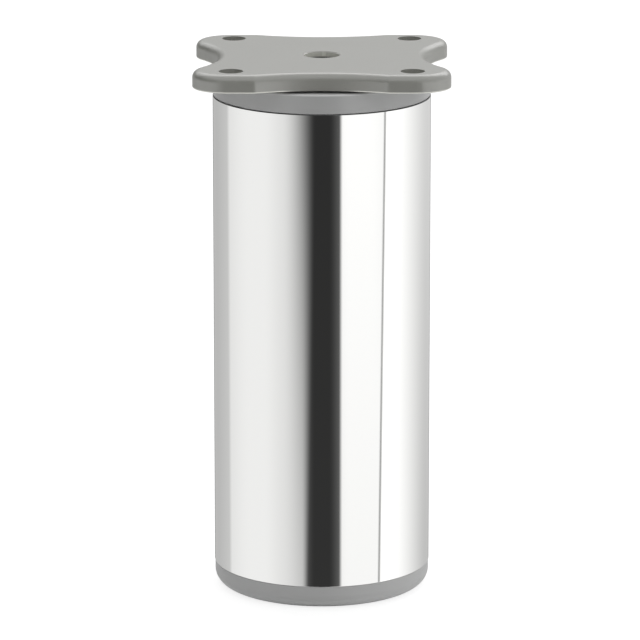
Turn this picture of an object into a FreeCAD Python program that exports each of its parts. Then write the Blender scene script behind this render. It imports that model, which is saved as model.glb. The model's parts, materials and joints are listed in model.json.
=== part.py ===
import FreeCAD, Part
import math
import os

import Sketcher

# Adjustable cabinet leg, in millimetres. +Z is up, the sole of the foot stands on z = 0 and the
# leg's axis is the Z axis. Each piece is a body of its own, with its sizes bound to the sheet.

DRIVING_SIZES = {
    # leg tube
    "tube_diameter": (60.0, "outside diameter of the chrome tube"),
    "tube_wall": (1.2, "wall of the tube"),
    "tube_length": (132.4, "length of the tube"),
    "tube_edge_round": (0.15, "edge round at both ends of the tube"),
    # mounting plate
    "plate_thickness": (4.8, "thickness of the mounting plate"),
    "plate_width": (70.0, "width of the plate over its lobes, along X"),
    "plate_depth": (63.4, "depth of the plate over its lobes, along Y"),
    "plate_waist": (56.8, "width of the plate between two opposite concave sides"),
    "lobe_radius": (9.5, "radius of each lobe, round its screw hole"),
    "shoulder_place": (18.5, "distance of each shoulder of the front and the back from the plate's middle"),
    "shoulder_round": (3.2, "round of each shoulder, where the concave side starts"),
    "plate_top_round": (2.0, "round along the plate's upper edge"),
    "plate_low_round": (0.4, "round along the plate's lower edge"),
    "hole_spacing": (49.0, "distance between neighbouring screw holes"),
    "hole_diameter": (6.6, "screw hole for a 6 mm screw"),
    "driver_bore": (9.8, "bore in the plate's middle that lets a 6 mm hexagon key through"),
    "bore_mouth": (10.3, "mouth of that bore, where its upper edge is broken"),
    "plate_gap": (0.6, "open gap between the plate and the collar"),
    "seat_diameter": (48.0, "round seat under the plate that stands on the collar"),
    "spigot_diameter": (16.0, "spigot that centres the plate in the top plug"),
    "spigot_depth": (6.0, "depth of the spigot below the seat"),
    "spigot_clearance": (0.1, "radial clearance round the spigot and the bosses"),
    # fixing of the plate
    "fixing_count": (4, "screws that hold the plate on the top plug"),
    "fixing_circle": (36.0, "diameter of the circle of those screws"),
    "boss_diameter": (8.4, "boss under the plate that takes a screw"),
    "boss_depth": (6.0, "depth of the boss below the seat"),
    "boss_end_gap": (0.2, "gap under the end of the boss"),
    "pilot_depth": (8.6, "depth of the pilot hole in the boss"),
    "screw_diameter": (4.2, "outside diameter of the screw's thread"),
    "screw_core": (3.1, "core diameter of the screw"),
    "screw_core_clearance": (0.05, "radial clearance round the screw's core"),
    "screw_hole_clearance": (0.2, "radial clearance round the screw's thread"),
    "screw_tip_gap": (0.6, "gap between the screw's tip and the end of its pilot hole"),
    "screw_head_diameter": (8.6, "diameter of the screw's head"),
    "screw_head_height": (2.6, "height of the screw's head"),
    "screw_head_round": (0.8, "round of the screw's head"),
    "drive_recess": (2.4, "across flats of the hexagon recess in the screw's head"),
    "drive_recess_depth": (1.6, "depth of that recess"),
    # top plug
    "collar_height": (5.6, "height of the collar between the tube and the gap"),
    "collar_inset": (0.1, "how far the collar stands back from the tube's outside"),
    "collar_top_round": (0.6, "round of the collar's upper rim"),
    "collar_low_round": (0.5, "round of the collar's lower edge"),
    "top_web": (3.0, "thickness of the top plug's web"),
    "skirt_length": (16.0, "depth of the top plug's skirt in the tube"),
    "plug_wall": (2.4, "wall of both plugs' skirts"),
    "plug_clearance": (0.05, "radial clearance of both plugs in the tube"),
    "plug_lead_in": (0.8, "chamfer that leads each plug into the tube"),
    "socket_wall": (2.0, "wall round each screw socket of the top plug"),
    "socket_floor": (2.5, "floor of each screw socket"),
    # lower plug
    "lower_plug_depth": (24.0, "height of the lower plug's top above the tube's lower end"),
    "lower_plug_recess": (0.8, "how far the lower plug stands back inside the tube's end"),
    "lower_web": (3.0, "thickness of the lower plug's web"),
    "nut_inset": (5.0, "height of the nut above the tube's lower end"),
    "nut_pocket_clearance": (0.1, "clearance on each flat of the nut"),
    "nut_pocket_wall": (3.0, "wall outside the corners of the nut's pocket"),
    "lower_rib_count": (8, "radial ribs of the lower plug"),
    "lower_rib_width": (2.0, "thickness of each of those ribs"),
    "lower_rib_setback": (4.0, "height of those ribs above the tube's lower end"),
    # nut and spindle
    "nut_across_flats": (18.0, "width of the nut"),
    "nut_height": (10.8, "height of the nut"),
    "nut_bore_chamfer": (0.8, "chamfer at both ends of the nut's thread"),
    "spindle_diameter": (12.0, "outside diameter of the spindle's thread"),
    "spindle_length": (44.0, "length of the spindle with its flange"),
    "spindle_end_chamfer": (1.0, "chamfer at the spindle's upper end"),
    "thread_clearance": (0.05, "radial clearance of the spindle in the nut"),
    "spindle_passage": (0.5, "radial clearance of the spindle in the lower plug"),
    "relief_diameter": (9.8, "thread relief above the spindle's flange"),
    "relief_length": (2.0, "length of the thread relief"),
    "flange_diameter": (18.0, "flange at the spindle's lower end"),
    "flange_thickness": (2.4, "thickness of that flange"),
    "flange_edge_round": (0.3, "edge round of that flange"),
    "key_across_flats": (6.0, "hexagon socket in the spindle's upper end"),
    "key_depth": (6.0, "depth of that socket"),
    # foot
    "foot_height": (6.6, "height of the foot below the tube"),
    "foot_inset": (0.1, "how far the foot stands back from the tube's outside"),
    "foot_edge_round": (4.0, "round of the foot's lower edge"),
    "foot_rim_round": (0.3, "round of the foot's upper edge"),
    "foot_wall": (3.4, "wall of the foot's rim"),
    "foot_floor": (2.6, "floor of the foot, under the spindle"),
    "sole_recess_diameter": (40.0, "shallow recess in the sole"),
    "sole_recess_depth": (0.5, "depth of that recess"),
    "hub_wall": (3.0, "wall of the foot's hub round the flange"),
    "hub_clearance": (0.05, "radial clearance of the flange in the hub"),
    "hub_play": (0.2, "gap between the flange and the lip that holds it"),
    "lip_overhang": (1.0, "how far the lip reaches over the flange"),
    "lip_height": (1.3, "height of that lip"),
    "lip_lead_in": (0.6, "chamfer inside the lip"),
    "finger_count": (4, "slots that split the hub into springy fingers"),
    "finger_slot": (2.2, "width of each slot"),
    "finger_root": (0.6, "height of the slots above the foot's floor"),
    "foot_rib_count": (8, "radial ribs of the foot"),
    "foot_rib_width": (2.0, "thickness of each of those ribs"),
    "foot_rib_drop": (1.2, "how far those ribs stay below the foot's rim"),
}

FULL_TURN = 360.0
HALF_TURN = 180.0
NUT_CORNER_ANGLE = math.radians(30.0)
NUT_FACE_SHARE = 0.95
FEATURE_OVERLAP = 0.5
EDGE_TOLERANCE = 1e-4
UP = FreeCAD.Vector(0, 0, 1)

doc = FreeCAD.newDocument("cabinet_leg")
sheet = doc.addObject("Spreadsheet::Sheet", "Sizes")
for row, (alias, (number, meaning)) in enumerate(DRIVING_SIZES.items(), start=1):
    sheet.set(f"A{row}", meaning)
    sheet.set(f"B{row}", str(number))
    sheet.setAlias(f"B{row}", alias)
doc.recompute()


class Size:
    """A length worked out from the sheet: its value now, and the expression that keeps it bound."""

    def __init__(self, value, text):
        self.value = value
        self.text = text

    @staticmethod
    def of(other):
        return other if isinstance(other, Size) else Size(float(other), repr(float(other)))

    def joined(self, sign, other, value):
        return Size(value, f"({self.text} {sign} {other.text})")

    def __add__(self, other):
        other = Size.of(other)
        return self.joined("+", other, self.value + other.value)

    def __sub__(self, other):
        other = Size.of(other)
        return self.joined("-", other, self.value - other.value)

    def __mul__(self, other):
        other = Size.of(other)
        return self.joined("*", other, self.value * other.value)

    def __truediv__(self, other):
        other = Size.of(other)
        return self.joined("/", other, self.value / other.value)

    def __neg__(self):
        return Size(-self.value, f"(-{self.text})")


def size(alias):
    return Size(float(sheet.get(alias)), f"{sheet.Name}.{alias}")


def half_step(count):
    """Half the angle between neighbours in a ring of that many, in degrees."""
    return Size.of(HALF_TURN) / count


ZERO = Size(0.0, "0")


# Helpers for bodies, sketches and features

def new_body(label, height=ZERO):
    """Make an empty body and stand it at a height on the leg's axis."""
    body = doc.addObject("PartDesign::Body", label)
    body.Label = label
    body.setExpression("Placement.Base.z", height.text)
    return body


def origin_feature(body, role):
    return next(feature for feature in body.Origin.OriginFeatures if feature.Role == role)


def new_sketch(body, name, plane="XY_Plane", lift=ZERO, turn=None):
    """Attach a sketch to one of the body's own planes, lifted off it and turned in it."""
    sketch = body.newObject("Sketcher::SketchObject", name)
    sketch.AttachmentSupport = [(origin_feature(body, plane), "")]
    sketch.MapMode = "FlatFace"
    if turn is not None:
        sketch.AttachmentOffset = FreeCAD.Placement(
            FreeCAD.Vector(), FreeCAD.Rotation(UP, turn.value))
        sketch.setExpression("AttachmentOffset.Rotation.Angle", turn.text)
    sketch.setExpression("AttachmentOffset.Base.z", lift.text)
    return sketch


def bind_constraint(sketch, name, constraint, length):
    index = sketch.addConstraint(constraint)
    sketch.renameConstraint(index, name)
    sketch.setExpression(f"Constraints.{name}", length.text)


def bind_point(sketch, name, geometry, position, x, y):
    """Hold a point of the sketch at a bound distance from the sketch's origin."""
    if x is ZERO:
        sketch.addConstraint(Sketcher.Constraint("PointOnObject", geometry, position, -2))
    else:
        across = Sketcher.Constraint("DistanceX", -1, 1, geometry, position, x.value)
        bind_constraint(sketch, f"{name}_x", across, x)
    if y is ZERO:
        sketch.addConstraint(Sketcher.Constraint("PointOnObject", geometry, position, -1))
    else:
        along = Sketcher.Constraint("DistanceY", -1, 1, geometry, position, y.value)
        bind_constraint(sketch, f"{name}_y", along, y)


def draw_polygon(sketch, corners):
    """Draw a closed run of straight lines through corners that are all bound."""
    first = sketch.GeometryCount
    points = [FreeCAD.Vector(x.value, y.value, 0) for x, y in corners]
    for start, end in zip(points, points[1:] + points[:1]):
        sketch.addGeometry(Part.LineSegment(start, end), False)
    for number, (x, y) in enumerate(corners):
        line = first + number
        following = first + (number + 1) % len(corners)
        sketch.addConstraint(Sketcher.Constraint("Coincident", line, 2, following, 1))
        bind_point(sketch, f"corner{line}", line, 1, x, y)


def bind_radius(sketch, name, geometry, radius):
    bind_constraint(sketch, name, Sketcher.Constraint("Radius", geometry, radius.value), radius)


def draw_circle(sketch, radius, x=ZERO, y=ZERO):
    centre = FreeCAD.Vector(x.value, y.value, 0)
    circle = sketch.addGeometry(Part.Circle(centre, UP, radius.value), False)
    bind_point(sketch, f"centre{circle}", circle, 3, x, y)
    bind_radius(sketch, f"radius{circle}", circle, radius)


def draw_rectangle(sketch, near, far, width):
    """Draw a bar that runs out along the sketch's first axis, centred on it."""
    side = width / 2
    draw_polygon(sketch, [(near, -side), (far, -side), (far, side), (near, side)])


def draw_hexagon(sketch, across_flats, x=ZERO):
    flat = across_flats / 2
    corner = across_flats / math.sqrt(3)
    draw_polygon(sketch, [(x + corner, ZERO), (x + corner / 2, flat), (x - corner / 2, flat),
                          (x - corner, ZERO), (x - corner / 2, -flat), (x + corner / 2, -flat)])


def pad(body, sketch, length, downwards=False):
    feature = body.newObject("PartDesign::Pad", f"{sketch.Name}_pad")
    feature.Profile = sketch
    feature.setExpression("Length", length.text)
    feature.Reversed = downwards
    doc.recompute()
    return feature


def cut(body, feature):
    """Recompute a feature that takes material away, and make sure that it does."""
    before = feature.BaseFeature.Shape.Volume
    doc.recompute()
    if not feature.Shape.Volume < before:
        raise RuntimeError(f"{feature.Label} of {body.Label} cuts nothing")
    return feature


def pocket(body, sketch, depth, upwards=False):
    feature = body.newObject("PartDesign::Pocket", f"{sketch.Name}_pocket")
    feature.Profile = sketch
    feature.setExpression("Length", depth.text)
    feature.Reversed = upwards
    return cut(body, feature)


def turned(body, kind, sketch):
    """Turn a profile about the leg's axis, as a Revolution or a Groove."""
    feature = body.newObject(f"PartDesign::{kind}", f"{sketch.Name}_{kind.lower()}")
    feature.Profile = sketch
    feature.ReferenceAxis = (sketch, ["V_Axis"])
    feature.Angle = FULL_TURN
    if kind == "Groove":
        return cut(body, feature)
    doc.recompute()
    return feature


def edges_at_level(shape, level):
    """Name the edges that lie wholly at one height."""
    names = []
    for number, edge in enumerate(shape.Edges, start=1):
        box = edge.BoundBox
        if max(abs(box.ZMin - level.value), abs(box.ZMax - level.value)) < EDGE_TOLERANCE:
            names.append(f"Edge{number}")
    return names


def rings(shape, *radius_and_level):
    """Name the full circles about the leg's axis with these radii and heights."""
    names = []
    for number, edge in enumerate(shape.Edges, start=1):
        curve = edge.Curve
        if not isinstance(curve, Part.Circle):
            continue
        if math.hypot(curve.Center.x, curve.Center.y) > EDGE_TOLERANCE:
            continue
        for radius, level in radius_and_level:
            off = max(abs(curve.Radius - radius.value), abs(curve.Center.z - level.value))
            if off < EDGE_TOLERANCE:
                names.append(f"Edge{number}")
    return names


def dress(body, kind, names, amount):
    """Round or chamfer edges of the body's last feature."""
    base = body.Tip
    if not names:
        raise RuntimeError(f"{body.Label} has no edge for its {kind}")
    feature = body.newObject(f"PartDesign::{kind}", f"{base.Name}_{kind.lower()}")
    feature.Base = (base, names)
    feature.setExpression("Radius" if kind == "Fillet" else "Size", amount.text)
    doc.recompute()
    return feature


def repeat_round(body, originals, count):
    """Repeat features evenly about the leg's axis."""
    pattern = body.newObject("PartDesign::PolarPattern", f"{originals[0].Name}_ring")
    pattern.Originals = originals
    pattern.Axis = (origin_feature(body, "Z_Axis"), [""])
    pattern.Angle = FULL_TURN
    pattern.setExpression("Occurrences", count.text)
    body.Tip = pattern
    doc.recompute()
    return pattern


# Sizes and heights that several pieces share

tube_radius = size("tube_diameter") / 2
tube_inside = tube_radius - size("tube_wall")
plug_radius = tube_inside - size("plug_clearance")
plug_inside = plug_radius - size("plug_wall")

tube_low = size("foot_height")
tube_high = tube_low + size("tube_length")
collar_top = tube_high + size("collar_height")
plate_low = collar_top + size("plate_gap")

boss_radius = size("boss_diameter") / 2
boss_place = size("fixing_circle") / 2
boss_reach = size("plate_gap") + size("boss_depth")
socket_depth = size("boss_depth") + size("boss_end_gap")
socket_low = socket_depth + size("socket_floor")
spindle_radius = size("spindle_diameter") / 2
flange_radius = size("flange_diameter") / 2


# Mounting plate

def hollow_side(across, line, bend):
    """Work out a concave side that runs on smoothly between two bends of the outline.

    The bends' centres lie on a line at one distance from the plate's middle, each the other distance
    across from it. The result is the side's radius, how far out its own centre lies, and its half angle.
    """
    waist = size("plate_waist") / 2
    step = waist - line
    radius = (across * across + step * step - bend * bend) / ((bend - step) * 2)
    reach = waist + radius
    return radius, reach, math.atan2(across.value, reach.value - line.value)


def draw_plate_outline(sketch):
    """Draw four lobes. Concave sides join them, from lobe to lobe at the left and the right, and from
    shoulder to shoulder in front and behind."""
    lobe = size("lobe_radius")
    shoulder = size("shoulder_round")
    edge = size("plate_depth") / 2
    lobe_x = size("plate_width") / 2 - lobe
    lobe_y = edge - lobe
    shoulder_x = size("shoulder_place")
    shoulder_y = edge - shoulder
    front, front_reach, front_lean = hollow_side(shoulder_x, shoulder_y, shoulder)
    flank, flank_reach, flank_lean = hollow_side(lobe_y, lobe_x, lobe)
    quarter = math.pi / 2
    runs = []

    def add_arc(x, y, radius, start, end):
        circle = Part.Circle(FreeCAD.Vector(x.value, y.value, 0), UP, radius.value)
        arc = sketch.addGeometry(Part.ArcOfCircle(circle, start, end), False)
        bind_radius(sketch, f"radius{arc}", arc, radius)
        return arc

    def add_bend(x, y, radius, start, end):
        arc = add_arc(x, y, radius, start, end)
        bind_point(sketch, f"centre{arc}", arc, 3, x, y)
        runs.append((arc, 1, 2))

    def add_hollow(x, y, radius, start, end):
        runs.append((add_arc(x, y, radius, start, end), 2, 1))

    def add_line(start_x, end_x, y):
        start = FreeCAD.Vector(start_x.value, y.value, 0)
        end = FreeCAD.Vector(end_x.value, y.value, 0)
        runs.append((sketch.addGeometry(Part.LineSegment(start, end), False), 1, 2))

    for half, turn in ((1, 0.0), (-1, math.pi)):
        ahead = turn + quarter
        add_bend(lobe_x * half, lobe_y * half, lobe, turn - flank_lean, ahead)
        add_line(lobe_x * half, shoulder_x * half, edge * half)
        add_bend(shoulder_x * half, shoulder_y * half, shoulder, ahead, ahead + front_lean)
        add_hollow(ZERO, front_reach * half, front, turn - quarter - front_lean, turn - quarter + front_lean)
        add_bend(shoulder_x * -half, shoulder_y * half, shoulder, ahead - front_lean, ahead)
        add_line(shoulder_x * -half, lobe_x * -half, edge * half)
        add_bend(lobe_x * -half, lobe_y * half, lobe, ahead, ahead + quarter + flank_lean)
        add_hollow(flank_reach * -half, ZERO, flank, turn - flank_lean, turn + flank_lean)
    for (run, _, run_end), (following, following_start, _) in zip(runs, runs[1:] + runs[:1]):
        sketch.addConstraint(Sketcher.Constraint("Tangent", run, run_end, following, following_start))


def make_mounting_plate():
    body = new_body("mounting_plate", plate_low)
    thickness = size("plate_thickness")
    outline = new_sketch(body, "plate_outline")
    draw_plate_outline(outline)
    slab = pad(body, outline, thickness)
    top_edge = dress(body, "Fillet", edges_at_level(slab.Shape, thickness), size("plate_top_round"))
    dress(body, "Fillet", edges_at_level(top_edge.Shape, ZERO), size("plate_low_round"))

    seat = new_sketch(body, "plate_seat")
    draw_circle(seat, size("seat_diameter") / 2)
    pad(body, seat, size("plate_gap"), downwards=True)
    spigot_low = size("plate_gap") + size("spigot_depth")
    spigot = new_sketch(body, "plate_spigot")
    draw_circle(spigot, size("spigot_diameter") / 2)
    pad(body, spigot, spigot_low, downwards=True)

    boss = new_sketch(body, "plate_boss")
    draw_circle(boss, boss_radius, boss_place)
    boss_pad = pad(body, boss, boss_reach, downwards=True)
    pilot = new_sketch(body, "plate_pilot", lift=-boss_reach)
    draw_circle(pilot, size("screw_core") / 2 + size("screw_core_clearance"), boss_place)
    pilot_pocket = pocket(body, pilot, size("pilot_depth"), upwards=True)
    repeat_round(body, [boss_pad, pilot_pocket], size("fixing_count"))

    holes = new_sketch(body, "plate_holes")
    place = size("hole_spacing") / 2
    for x in (place, -place):
        for y in (place, -place):
            draw_circle(holes, size("hole_diameter") / 2, x, y)
    pocket(body, holes, thickness, upwards=True)
    bore_radius = size("driver_bore") / 2
    bore = new_sketch(body, "driver_bore", lift=-spigot_low)
    draw_circle(bore, bore_radius)
    bored = pocket(body, bore, spigot_low + thickness, upwards=True)
    broken_edge = size("bore_mouth") / 2 - bore_radius
    dress(body, "Chamfer", rings(bored.Shape, (bore_radius, thickness)), broken_edge)
    return body


# Screws that draw the plate down on the top plug

def make_plate_screws():
    head = size("screw_head_height")
    body = new_body("plate_screws", collar_top - socket_low - head)
    reach = socket_low - size("boss_depth") + size("pilot_depth") - size("screw_tip_gap")
    disc = new_sketch(body, "screw_head")
    draw_circle(disc, size("screw_head_diameter") / 2, boss_place)
    head_pad = pad(body, disc, head)
    rounded = dress(body, "Fillet", edges_at_level(head_pad.Shape, ZERO), size("screw_head_round"))
    shank = new_sketch(body, "screw_shank", lift=head)
    draw_circle(shank, size("screw_core") / 2, boss_place)
    shank_pad = pad(body, shank, reach)
    recess = new_sketch(body, "screw_recess")
    draw_hexagon(recess, size("drive_recess"), boss_place)
    recess_pocket = pocket(body, recess, size("drive_recess_depth"), upwards=True)
    repeat_round(body, [head_pad, rounded, shank_pad, recess_pocket], size("fixing_count"))
    return body


# Top plug: the collar under the plate and the skirt inside the tube

def make_top_plug():
    body = new_body("top_plug", tube_high - size("skirt_length"))
    end = size("skirt_length")
    top = end + size("collar_height")
    web_low = top - size("top_web")
    collar_radius = tube_radius - size("collar_inset")
    spigot_hole = size("spigot_diameter") / 2 + size("spigot_clearance")
    section = new_sketch(body, "top_plug_section", plane="XZ_Plane")
    draw_polygon(section, [(plug_inside, ZERO), (plug_radius, ZERO), (plug_radius, end),
                           (collar_radius, end), (collar_radius, top), (spigot_hole, top),
                           (spigot_hole, web_low), (plug_inside, web_low)])
    ring = turned(body, "Revolution", section)
    rim = dress(body, "Fillet", rings(ring.Shape, (collar_radius, top)), size("collar_top_round"))
    low = dress(body, "Fillet", rings(rim.Shape, (collar_radius, end)), size("collar_low_round"))
    dress(body, "Chamfer", rings(low.Shape, (plug_radius, ZERO)), size("plug_lead_in"))

    socket_radius = boss_radius + size("spigot_clearance")
    post = new_sketch(body, "socket_post", lift=top - socket_low)
    draw_circle(post, socket_radius + size("socket_wall"), boss_place)
    post_pad = pad(body, post, socket_low - size("top_web") / 2)
    socket = new_sketch(body, "socket", lift=top)
    draw_circle(socket, socket_radius, boss_place)
    socket_pocket = pocket(body, socket, socket_depth)
    passage = new_sketch(body, "screw_passage", lift=top)
    draw_circle(passage, size("screw_diameter") / 2 + size("screw_hole_clearance"), boss_place)
    passage_pocket = pocket(body, passage, socket_low)
    repeat_round(body, [post_pad, socket_pocket, passage_pocket], size("fixing_count"))
    return body


# Leg tube

def make_leg_tube():
    body = new_body("leg_tube", tube_low)
    ring = new_sketch(body, "tube_ring")
    draw_circle(ring, tube_radius)
    draw_circle(ring, tube_inside)
    tube = pad(body, ring, size("tube_length"))
    ends = edges_at_level(tube.Shape, ZERO) + edges_at_level(tube.Shape, size("tube_length"))
    dress(body, "Fillet", ends, size("tube_edge_round"))
    return body


# Lower plug: it closes the tube's lower end and holds the nut

def make_lower_plug():
    body = new_body("lower_plug", tube_low)
    top = size("lower_plug_depth")
    web_low = top - size("lower_web")
    recess = size("lower_plug_recess")
    hub_low = size("nut_inset")
    pocket_width = size("nut_across_flats") + size("nut_pocket_clearance") * 2
    hub_radius = pocket_width / math.sqrt(3) + size("nut_pocket_wall")
    hole = spindle_radius + size("spindle_passage")
    section = new_sketch(body, "lower_plug_section", plane="XZ_Plane")
    draw_polygon(section, [(hole, hub_low), (hub_radius, hub_low), (hub_radius, web_low),
                           (plug_inside, web_low), (plug_inside, recess), (plug_radius, recess),
                           (plug_radius, top), (hole, top)])
    ring = turned(body, "Revolution", section)
    dress(body, "Chamfer", rings(ring.Shape, (plug_radius, top)), size("plug_lead_in"))
    rib_low = size("lower_rib_setback")
    rib = new_sketch(body, "lower_rib", lift=rib_low, turn=half_step(size("lower_rib_count")))
    draw_rectangle(rib, hub_radius - FEATURE_OVERLAP, plug_inside + FEATURE_OVERLAP, size("lower_rib_width"))
    rib_pad = pad(body, rib, top - size("lower_web") / 2 - rib_low)
    repeat_round(body, [rib_pad], size("lower_rib_count"))
    nut_pocket = new_sketch(body, "nut_pocket", lift=hub_low)
    draw_hexagon(nut_pocket, pocket_width)
    pocket(body, nut_pocket, size("nut_height"), upwards=True)
    return body


# Nut in the lower plug

def make_spindle_nut():
    body = new_body("spindle_nut", tube_low + size("nut_inset"))
    height = size("nut_height")
    across = size("nut_across_flats")
    bore_radius = spindle_radius + size("thread_clearance")
    hexagon = new_sketch(body, "nut_hexagon")
    draw_hexagon(hexagon, across)
    draw_circle(hexagon, bore_radius)
    blank = pad(body, hexagon, height)
    bore_edges = rings(blank.Shape, (bore_radius, ZERO), (bore_radius, height))
    dress(body, "Chamfer", bore_edges, size("nut_bore_chamfer"))
    face = across * NUT_FACE_SHARE / 2
    outside = across
    drop = (outside - face) * math.tan(NUT_CORNER_ANGLE)
    corners = new_sketch(body, "nut_corners", plane="XZ_Plane")
    draw_polygon(corners, [(face, ZERO), (outside, ZERO), (outside, drop)])
    draw_polygon(corners, [(face, height), (outside, height), (outside, height - drop)])
    turned(body, "Groove", corners)
    return body


# Levelling spindle, with its thread left plain at the thread's outside diameter

def make_levelling_spindle():
    body = new_body("levelling_spindle", size("foot_floor"))
    length = size("spindle_length")
    flange = size("flange_thickness")
    relief = size("relief_diameter") / 2
    relief_top = flange + size("relief_length")
    chamfer = size("spindle_end_chamfer")
    section = new_sketch(body, "spindle_section", plane="XZ_Plane")
    draw_polygon(section, [(ZERO, ZERO), (flange_radius, ZERO), (flange_radius, flange), (relief, flange),
                           (relief, relief_top), (spindle_radius, relief_top + spindle_radius - relief),
                           (spindle_radius, length - chamfer), (spindle_radius - chamfer, length),
                           (ZERO, length)])
    bar = turned(body, "Revolution", section)
    edges = rings(bar.Shape, (flange_radius, ZERO), (flange_radius, flange))
    dress(body, "Fillet", edges, size("flange_edge_round"))
    key = new_sketch(body, "key_socket", lift=length)
    draw_hexagon(key, size("key_across_flats"))
    pocket(body, key, size("key_depth"))
    return body


# Foot: it stands on the floor and holds the spindle's flange between springy fingers

def make_foot():
    body = new_body("foot")
    height = size("foot_height")
    outside = tube_radius - size("foot_inset")
    inside = outside - size("foot_wall")
    floor = size("foot_floor")
    recess = size("sole_recess_diameter") / 2
    recess_top = size("sole_recess_depth")
    socket = flange_radius + size("hub_clearance")
    hub = socket + size("hub_wall")
    lip = flange_radius - size("lip_overhang")
    lip_low = floor + size("flange_thickness") + size("hub_play")
    hub_top = lip_low + size("lip_height")
    section = new_sketch(body, "foot_section", plane="XZ_Plane")
    draw_polygon(section, [(ZERO, recess_top), (recess, recess_top), (recess, ZERO), (outside, ZERO),
                           (outside, height), (inside, height), (inside, floor), (hub, floor), (hub, hub_top),
                           (lip, hub_top), (lip, lip_low), (socket, lip_low), (socket, floor), (ZERO, floor)])
    dish = turned(body, "Revolution", section)
    low = dress(body, "Fillet", rings(dish.Shape, (outside, ZERO)), size("foot_edge_round"))
    rim = dress(body, "Fillet", rings(low.Shape, (outside, height), (inside, height)), size("foot_rim_round"))
    dress(body, "Chamfer", rings(rim.Shape, (lip, hub_top)), size("lip_lead_in"))

    rib = new_sketch(body, "foot_rib", lift=floor - FEATURE_OVERLAP, turn=half_step(size("foot_rib_count")))
    draw_rectangle(rib, hub - FEATURE_OVERLAP, inside + FEATURE_OVERLAP, size("foot_rib_width"))
    rib_pad = pad(body, rib, height - size("foot_rib_drop") - floor + FEATURE_OVERLAP)
    repeat_round(body, [rib_pad], size("foot_rib_count"))
    slot = new_sketch(body, "finger_slot", lift=hub_top)
    draw_rectangle(slot, lip - FEATURE_OVERLAP, hub + FEATURE_OVERLAP, size("finger_slot"))
    slot_pocket = pocket(body, slot, hub_top - floor - size("finger_root"))
    repeat_round(body, [slot_pocket], size("finger_count"))
    return body


def check_document(pieces):
    """Stop if any object failed, or if any piece has no sound solid."""
    for item in doc.Objects:
        if "Invalid" in item.State or "Error" in item.State:
            raise RuntimeError(f"{item.Label} failed: {item.State}")
    for piece in pieces:
        if piece.Shape.isNull() or not piece.Shape.isValid() or not piece.Shape.Solids:
            raise RuntimeError(f"{piece.Label} has no sound solid")


def main():
    makers = [make_mounting_plate, make_plate_screws, make_top_plug, make_leg_tube, make_lower_plug,
              make_spindle_nut, make_levelling_spindle, make_foot]
    pieces = [maker() for maker in makers]
    doc.recompute()
    check_document(pieces)
    os.makedirs("parts", exist_ok=True)
    for piece in pieces:
        piece.Shape.exportStep(os.path.join("parts", f"{piece.Label}.step"))
        print(piece.Label, len(piece.Shape.Solids), round(piece.Shape.Volume, 1))


main()
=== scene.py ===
"""Looks of the adjustable cabinet leg.

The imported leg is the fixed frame. The bright tube and the threaded spindle are turned here as smooth
meshes, every piece gets its finish, and the leg stands on a pale floor in soft studio light.
Lengths are metres and angles are radians.
"""

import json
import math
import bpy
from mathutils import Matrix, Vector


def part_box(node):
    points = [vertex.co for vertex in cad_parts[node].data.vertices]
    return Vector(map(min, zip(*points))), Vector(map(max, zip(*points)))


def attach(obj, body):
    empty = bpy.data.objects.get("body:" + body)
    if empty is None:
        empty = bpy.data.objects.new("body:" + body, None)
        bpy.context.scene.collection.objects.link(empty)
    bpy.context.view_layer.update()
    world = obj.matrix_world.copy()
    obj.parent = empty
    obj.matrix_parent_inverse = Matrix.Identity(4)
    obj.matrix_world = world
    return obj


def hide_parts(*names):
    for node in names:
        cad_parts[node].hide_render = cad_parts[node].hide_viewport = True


bl_info = {
    "name": "Adjustable cabinet leg",
    "version": (1, 0, 0),
    "blender": (4, 5, 0),
    "location": "View3D > Sidebar > Cabinet leg",
    "description": "Finishes the pieces of a chrome cabinet leg and sets up its studio",
    "category": "Object",
}

import bpy

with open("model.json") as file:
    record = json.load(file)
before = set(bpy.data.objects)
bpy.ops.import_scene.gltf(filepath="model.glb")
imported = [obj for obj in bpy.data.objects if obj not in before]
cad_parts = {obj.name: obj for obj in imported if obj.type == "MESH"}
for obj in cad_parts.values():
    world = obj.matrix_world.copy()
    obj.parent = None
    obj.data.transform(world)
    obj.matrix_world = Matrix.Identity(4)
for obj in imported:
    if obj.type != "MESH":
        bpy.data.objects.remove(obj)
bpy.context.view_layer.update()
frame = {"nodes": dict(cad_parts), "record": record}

# Sizes that the frame gives
TUBE_LOW, TUBE_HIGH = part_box("leg_tube")
SPINDLE_LOW, SPINDLE_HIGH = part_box("levelling_spindle")
PLATE_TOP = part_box("mounting_plate")[1].z
COLLAR_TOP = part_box("top_plug")[1].z
METRES_PER_RADIAN = frame["record"]["behaviour"]["couplings"][0]["ratio"]

WHITE = (1.0, 1.0, 1.0, 1.0)
# How far roughness wanders over a moulded grain
GRAIN_SPREAD = 0.1
# The bore's painted light and shade fade out from its radius to this many times its radius
BORE_MARGIN = 1.02
# How far up a face looks where the painted highlight along the plate's lower edge ends and where it is
# full
UNDERSIDE = -0.98
SIDE = -0.8
# Shares of a pitch that the thread's flat crest and flat root take
CREST_SHARE = 1 / 8
ROOT_SHARE = 1 / 4
# Faces that meet at more than this angle keep a sharp edge
SHARP_EDGE = math.radians(35)
# Height over which the lower walls change into the upper light, on a sphere of radius 1
HORIZON_BLEND = 0.05


# Settings that a user would change

def length(name, description, default):
    return bpy.props.FloatProperty(name=name, description=description, default=default,
                                   subtype="DISTANCE", unit="LENGTH", precision=5)


def share(name, description, default):
    return bpy.props.FloatProperty(name=name, description=description, default=default,
                                   subtype="FACTOR", min=0.0, max=1.0)


def level(name, description, default):
    return bpy.props.FloatProperty(name=name, description=description, default=default, min=0.0)


def angle(name, description, degrees):
    return bpy.props.FloatProperty(name=name, description=description, default=math.radians(degrees),
                                   subtype="ANGLE", unit="ROTATION")


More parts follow.
